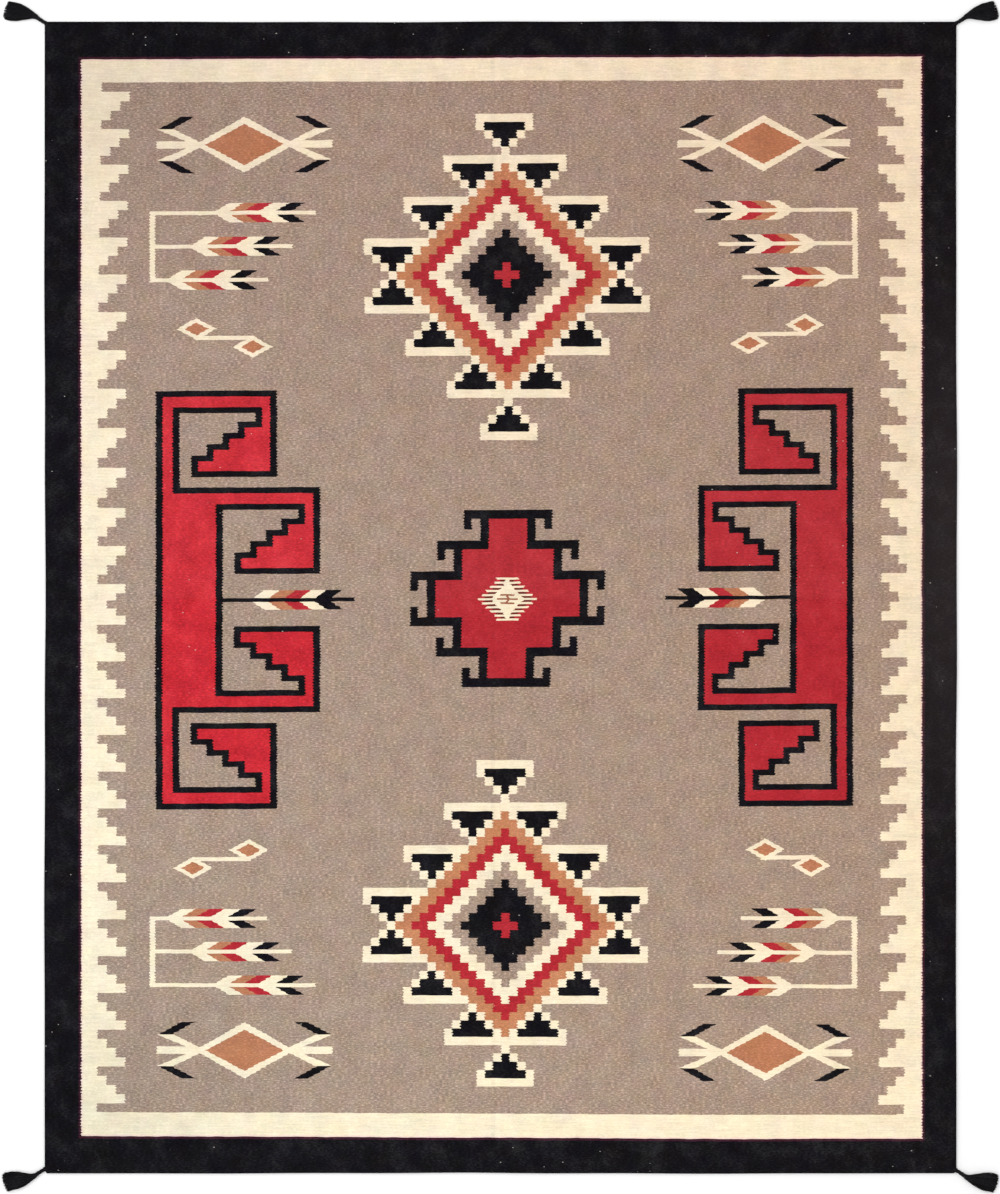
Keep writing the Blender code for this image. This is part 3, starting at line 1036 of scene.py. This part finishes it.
def makePaintedLight():
    # colour * a painted light between the near and the far end's * one between the left and the right side's
    # * (1 - painted shade in the left corners), then a painted glare on the right edge; both of these are bell
    #   curves
    tree, given, out = newGroup(
        "paintedLightFalloff", [("Color", "Color"), ("Position", "Vector")], [("Color", "Color")]
    )
    x, y, _ = splitPosition(tree, given["Position"])
    farShare = (y / rug["length"] + 0.5).step("MAXIMUM", 0.0).step("MINIMUM", 1.0)
    ends = mixColour(tree, (*wool["nearLight"], 1.0), (*wool["farLight"], 1.0), farShare)
    rightShare = (x / rug["width"] + 0.5).step("MAXIMUM", 0.0).step("MINIMUM", 1.0)
    sides = mixColour(tree, (*wool["leftLight"], 1.0), (*wool["rightLight"], 1.0), rightShare)
    cornerX, cornerY = wool["cornerPlace"]
    dx = (x + cornerX) / wool["cornerReach"]
    dy = (abs(y) - cornerY) / wool["cornerReach"]
    corner = ((dx * dx + dy * dy) * -1.0).step("EXPONENT")
    lit = corner * -wool["cornerShade"] + 1.0
    light = scaleColour(tree, scaleColour(tree, ends, sides), joinPosition(tree, lit, lit, lit))
    colour = scaleColour(tree, given["Color"], light)
    # painted glare: a veil mixed over the right edge, lighter than the black
    dx = (x - wool["glarePlace"][0]) / wool["glareReach"][0]
    dy = (y - wool["glarePlace"][1]) / wool["glareReach"][1]
    glare = ((dx * dx + dy * dy) * -1.0).step("EXPONENT") * wool["glareShare"]
    plug(tree, mixColour(tree, colour, wool["glareColour"], glare), out["Color"])
    return tree


def makeRugMaterial(heather, lint, weaveGroup):
    material, tree, shader = newMaterial("woven_wool_cloth")
    place = objectPlace(tree)
    dye = useGroup(tree, makeRugPattern(), Position=place)["Dye"]
    base = dyeRamp(tree, dye, [(number, fromScreen(colour)) for number, colour in dyes.values()])
    x, y, _ = splitPosition(tree, place)
    lot = ((y - wool["lotPlace"]) / wool["lotReach"]).step("MAXIMUM", -1.0).step("MINIMUM", 1.0)
    lot = lot * (dye.near(red, 0.2) | dye.near(scarlet, 0.2))
    base = scaleColour(tree, base, joinPosition(tree, *(lot * share + 1.0 for share in wool["redLot"])))
    flecks, patches, hues = (
        dyeRamp(tree, dye, [(number, (share,) * 3) for number, share in enumerate(wool[kind])])
        for kind in ("flecks", "patches", "hues")
    )
    colour = useGroup(
        tree, heather, Color=base, Position=place, Flecks=flecks, Rows=wool["rows"],
        Patches=patches, Hues=hues, Pale=wool["pale"],
    )["Color"]
    colour = useGroup(tree, makePaintedLight(), Color=colour, Position=place)["Color"]

    # each fold is painted as shade, a dark line; the fold down the middle also gets a lighter line of painted
    # light beside it
    half = rug["crease"]
    soft = x.near(rug["creasePlace"], half) * -rug["creaseShade"] + 1.0
    soft = soft + x.near(rug["creasePlace"] + 2.5 * half, half) * (rug["creaseShade"] / 2)
    soft = soft - y.near(rug["foldPlace"], half) * rug["foldShade"]
    colour = scaleColour(tree, colour, joinPosition(tree, soft, soft, soft))
    fibres = useGroup(tree, lint, Position=place, Rarity=rug["lintRarity"], Size=rug["lintSize"])["Mask"]
    colour = mixColour(tree, colour, (0.70, 0.66, 0.60, 1.0), fibres * rug["lintShare"])
    tree.links.new(colour, shader.inputs["Base Color"])

    height = useGroup(
        tree, weaveGroup, Position=place, WarpPitch=weave["warpPitch"], WeftPitch=weave["weftPitch"]
    )["Height"]
    plug(tree, height * -0.12 + 0.97, shader.inputs["Roughness"])
    addBump(tree, shader, height, weave["depth"], 0.6)
    shader.inputs["Specular IOR Level"].default_value = 0.02
    shader.inputs["Sheen Weight"].default_value = 0.01
    shader.inputs["Sheen Roughness"].default_value = 0.6
    return material


# Corner tassels. The sections run from the tie to the cut end, as in the solid.
tassel = dict(
    columns=("out", "up", "half", "tall"),
    sections=(
        (-0.0030, -0.0040, 0.0050, 0.0058),
        (0.0134, 0.0061, 0.0057, 0.0078),
        (0.0275, 0.0150, 0.0075, 0.0096),
        (0.0530, 0.0223, 0.0182, 0.0094),
        (0.0776, 0.0263, 0.0244, 0.0088),
        (0.1085, 0.0321, 0.0252, 0.0078),
    ),
    floorLift=0.0002,
    yarns=120,
    yarnRings=15,
    yarnSides=6,
    yarnRadius=(0.00062, 0.00105),
    rootRow=1.75,
    wander=0.0014,
    unevenEnds=0.0050,
    endBow=0.0034,
    lowRound=(0.68, 0.055),  # where the low side starts to be rounded off, and how strongly
    furthest=-0.40,
    plies=3,
    plyTurns=1.6,
    plyRings=44,
    plySides=10,
    plyEnd=2.15,
    plyStart=-0.32,
    wraps=6.0,
    wrapFrom=1.62,
    wrapTo=2.12,
    wrapRings=150,
    wrapRadius=0.0010,
    cornerWraps=3.0,
    cornerFrom=-0.20,
    cornerTo=0.10,
)
# side and end of the rug, how much further out and up it lies than the sections say, and its own seed
corners = dict(
    tassel_left_far=(-1, 1, (0.0, 0.0), 5),
    tassel_right_far=(1, 1, (0.0025, 0.0), 6),
    tassel_left_near=(-1, -1, (0.0035, -0.0068), 7),
    tassel_right_near=(1, -1, (0.0025, -0.0037), 8),
)


def sectionAt(rows, shift):
    # a smooth curve through the rows of the section table: each piece is the cubic whose slope at a
    # row is half the step between that row's neighbours
    table = np.array(tassel["sections"])
    table[:, :2] += shift
    padded = np.vstack([2 * table[0] - table[1], table, 2 * table[-1] - table[-2]])
    first = np.clip(np.floor(rows).astype(int), 0, len(table) - 2)
    t = (rows - first)[..., None]
    before, start, end, after = (padded[first + i] for i in range(4))
    bend = 2 * before - 5 * start + 4 * end - after
    twist = 3 * start - before - 3 * end + after
    return 0.5 * (2 * start + (end - before) * t + bend * t**2 + twist * t**3)


def tasselPoint(rows, sideways, height, shift):
    # rows = how far along, sideways from -1 to 1 across, height from 0 on the floor to 1 on top
    here = sectionAt(rows, shift)
    step = 0.01
    ahead = sectionAt(rows + step, shift) - sectionAt(rows - step, shift)
    ahead = ahead[..., :2] / np.linalg.norm(ahead[..., :2], axis=-1, keepdims=True)
    across = np.stack([-ahead[..., 1], ahead[..., 0]], axis=-1)
    flat = here[..., :2] + across * (here[..., 2] * sideways)[..., None]
    z = tassel["floorLift"] + here[..., 3] * height
    return np.concatenate([flat, z[..., None]], axis=-1)


def tubesAlong(paths, radii, sides, twist=0.0):
    # rings round every path: ring point = path point + radius * (cos * across + sin * up), for
    # paths of shape (tubes, rings, 3) and radii of shape (tubes, rings); the ends are closed
    ahead = np.gradient(paths, axis=1)
    ahead /= np.linalg.norm(ahead, axis=-1, keepdims=True)
    up = np.array([0.0, 0.0, 1.0]) - ahead * ahead[..., 2:3]
    up = np.where(np.linalg.norm(up, axis=-1, keepdims=True) < 0.2, np.array([1.0, 0.0, 0.0]), up)
    across = np.cross(up, ahead)
    across /= np.linalg.norm(across, axis=-1, keepdims=True)
    up = np.cross(ahead, across)
    turn = 2 * np.pi * np.arange(sides) / sides + twist
    ring = across[:, :, None] * np.cos(turn)[:, None] + up[:, :, None] * np.sin(turn)[:, None]
    points = paths[:, :, None] + ring * radii[:, :, None, None]
    tubes, rings = paths.shape[:2]
    number = np.arange(tubes * rings * sides).reshape(tubes, rings, sides)
    following = np.roll(number, -1, axis=2)
    wall = np.stack([number[:, :-1], following[:, :-1], following[:, 1:], number[:, 1:]], axis=-1)
    faces = [wall.reshape(-1, 4)]
    # each end is a strip of quads between opposite points
    for ring, flip in ((number[:, 0], True), (number[:, -1], False)):
        for low in range(sides // 2 - 1):
            high = sides - 1 - low
            strip = np.stack([ring[:, low], ring[:, low + 1], ring[:, high - 1], ring[:, high]], axis=-1)
            faces.append(strip[:, ::-1] if flip else strip)
    return points.reshape(-1, 3), np.concatenate(faces)


def joinShapes(shapes):
    # one list of points and faces out of several
    points, faces, count = [], [], 0
    for somePoints, someFaces in shapes:
        points.append(somePoints)
        faces.append(someFaces + count)
        count += len(somePoints)
    return np.concatenate(points), np.concatenate(faces)


def strandPaths(shift, rng):
    # strands packed in the section's rounded block, which spread, wander and end unevenly
    count = tassel["yarns"]
    sideways = np.linspace(-0.97, 0.97, count)
    rng.shuffle(sideways)
    layer = (np.arange(count) % 5 + rng.uniform(0.1, 0.9, count)) / 5
    rows = np.linspace(0.0, 1.0, tassel["yarnRings"])[None, :]
    last = len(tassel["sections"]) - 1
    lastLength = tassel["sections"][-1][0] - tassel["sections"][-2][0]
    lost = tassel["unevenEnds"] * rng.uniform(0.0, 1.0, count) ** 1.5
    lost = lost + tassel["endBow"] * (sideways - tassel["furthest"]) ** 2
    roundFrom, rounding = tassel["lowRound"]
    lost = lost + rounding * np.clip(-roundFrom - sideways, 0, None) ** 2
    ends = last - lost / lastLength
    along = tassel["rootRow"] + (ends[:, None] - tassel["rootRow"]) * rows
    phase = rng.uniform(0.0, 2 * np.pi, count)[:, None]
    pitch = rng.uniform(2.0, 5.0, count)[:, None]
    wave = np.sin(pitch * rows * 3.0 + phase) * rows**1.5
    round_ = np.sqrt(np.clip(1 - sideways**2, 0.05, 1.0))[:, None]
    height = 0.5 + (layer[:, None] - 0.5) * (0.75 + 0.2 * rows) * (round_ * (1 - rows) + rows)
    height = height - 0.5 * rows**3 * rng.uniform(0.0, 0.6, count)[:, None] * height
    thin, thick = tassel["yarnRadius"]
    radii = (thin + (thick - thin) * np.clip(1.6 * rows, 0, 1)) * rng.uniform(0.85, 1.1, count)[:, None]
    radii = radii * np.ones_like(along)
    radii[:, -1] *= 0.55
    paths = tasselPoint(along, sideways[:, None] * np.ones_like(along), height, shift)
    paths[..., 1] += tassel["wander"] * wave
    paths[..., 2] = np.maximum(paths[..., 2], radii + tassel["floorLift"])
    return paths, radii


def plyPaths(shift):
    # the neck's plies wind round its middle line, each a third of a turn from the next
    share = np.linspace(0.0, 1.0, tassel["plyRings"])[None, :]
    start = np.arange(tassel["plies"])[:, None] / tassel["plies"]
    turn = 2 * np.pi * (tassel["plyTurns"] * share + start)
    along = (tassel["plyStart"] + (tassel["plyEnd"] - tassel["plyStart"]) * share) * np.ones_like(turn)
    paths = tasselPoint(along, 0.46 * np.cos(turn), 0.5 + 0.22 * np.sin(turn), shift)
    radii = 0.54 * sectionAt(along, shift)[..., 2]
    radii = radii * np.clip(share * 9 + 0.55, 0, 1)
    lowest = radii + tassel["floorLift"]
    highest = np.maximum(lowest, sectionAt(along, shift)[..., 3] - radii)
    paths[..., 2] = np.clip(paths[..., 2], lowest, highest)
    return paths, radii


def wrapPath(low, high, turns, shift, swell):
    # thread wound round the neck: it goes round the section's oval while it moves along
    share = np.linspace(0.0, 1.0, tassel["wrapRings"])[None, :]
    turn = 2 * np.pi * turns * share
    along = low + (high - low) * share
    paths = tasselPoint(along, swell * np.cos(turn), 0.5 + 0.5 * swell * np.sin(turn), shift)
    paths[..., 2] = np.maximum(paths[..., 2], tassel["wrapRadius"] + tassel["floorLift"])
    return paths, np.full(share.shape, tassel["wrapRadius"])


def makeTassel(name, material):
    side, end, shift, seed = corners[name]
    rng = np.random.default_rng(seed)
    shapes = [
        tubesAlong(*strandPaths(shift, rng), tassel["yarnSides"]),
        tubesAlong(*plyPaths(shift), tassel["plySides"]),
        tubesAlong(*wrapPath(tassel["wrapFrom"], tassel["wrapTo"], tassel["wraps"], shift, 0.96), 8),
        tubesAlong(*wrapPath(tassel["cornerFrom"], tassel["cornerTo"], tassel["cornerWraps"], shift, 0.98), 8),
    ]
    tones = np.concatenate([
        np.repeat(rng.uniform(0.0, 1.0, tassel["yarns"]), tassel["yarnRings"] * tassel["yarnSides"]),
        np.full(sum(len(points) for points, _ in shapes[1:]), 0.5),
    ])
    points, faces = joinShapes(shapes)
    points = points * (side, end, 1.0) + (side * rug["width"] / 2, end * rug["length"] / 2, 0.0)
    if side * end < 0:
        faces = faces[:, ::-1]  # a mirrored tube would be inside out
    return makeMesh(name.replace("tassel", "yarn_tassel"), points, faces, material, tones=tones)


def makeYarnMaterial(heather, lint):
    material, tree, shader = newMaterial("black_tassel_yarn")
    place = objectPlace(tree)
    number, blackColour = dyes["black"]
    strand = tree.nodes.new("ShaderNodeAttribute")
    strand.attribute_name = "strandTone"
    tone = Wire(tree, strand.outputs["Fac"]) * 0.8 + 0.4
    base = scaleColour(tree, fromScreen(blackColour), joinPosition(tree, tone, tone, tone))
    colour = useGroup(
        tree, heather, Color=base, Position=place, Flecks=0.5, Rows=0.1, Patches=0.1, Hues=0.3, Pale=0.03
    )["Color"]
    plug(tree, colour, shader.inputs["Base Color"])
    fuzz = noiseAt(tree, place, 900.0, 3.0, 0.7)
    plug(tree, fuzz[1] * 0.2 + 0.72, shader.inputs["Roughness"])
    addBump(tree, shader, fuzz[0], 0.0004, 0.7)
    shader.inputs["Specular IOR Level"].default_value = 0.10
    shader.inputs["Sheen Weight"].default_value = 0.02
    return material


addCamera()
floor = addStudio()
print("camera and studio ready")

heather = makeHeather()
lint = makeLint()
rugCloth = makeRugSurface(makeRugMaterial(heather, lint, makeWeave()))
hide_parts("rug")
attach(rugCloth, "root")
print("cloth woven:", len(rugCloth.data.polygons), "faces")

yarn = makeYarnMaterial(heather, lint)
for name in corners:
    piece = makeTassel(name, yarn)
    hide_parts(name)
    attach(piece, "root")
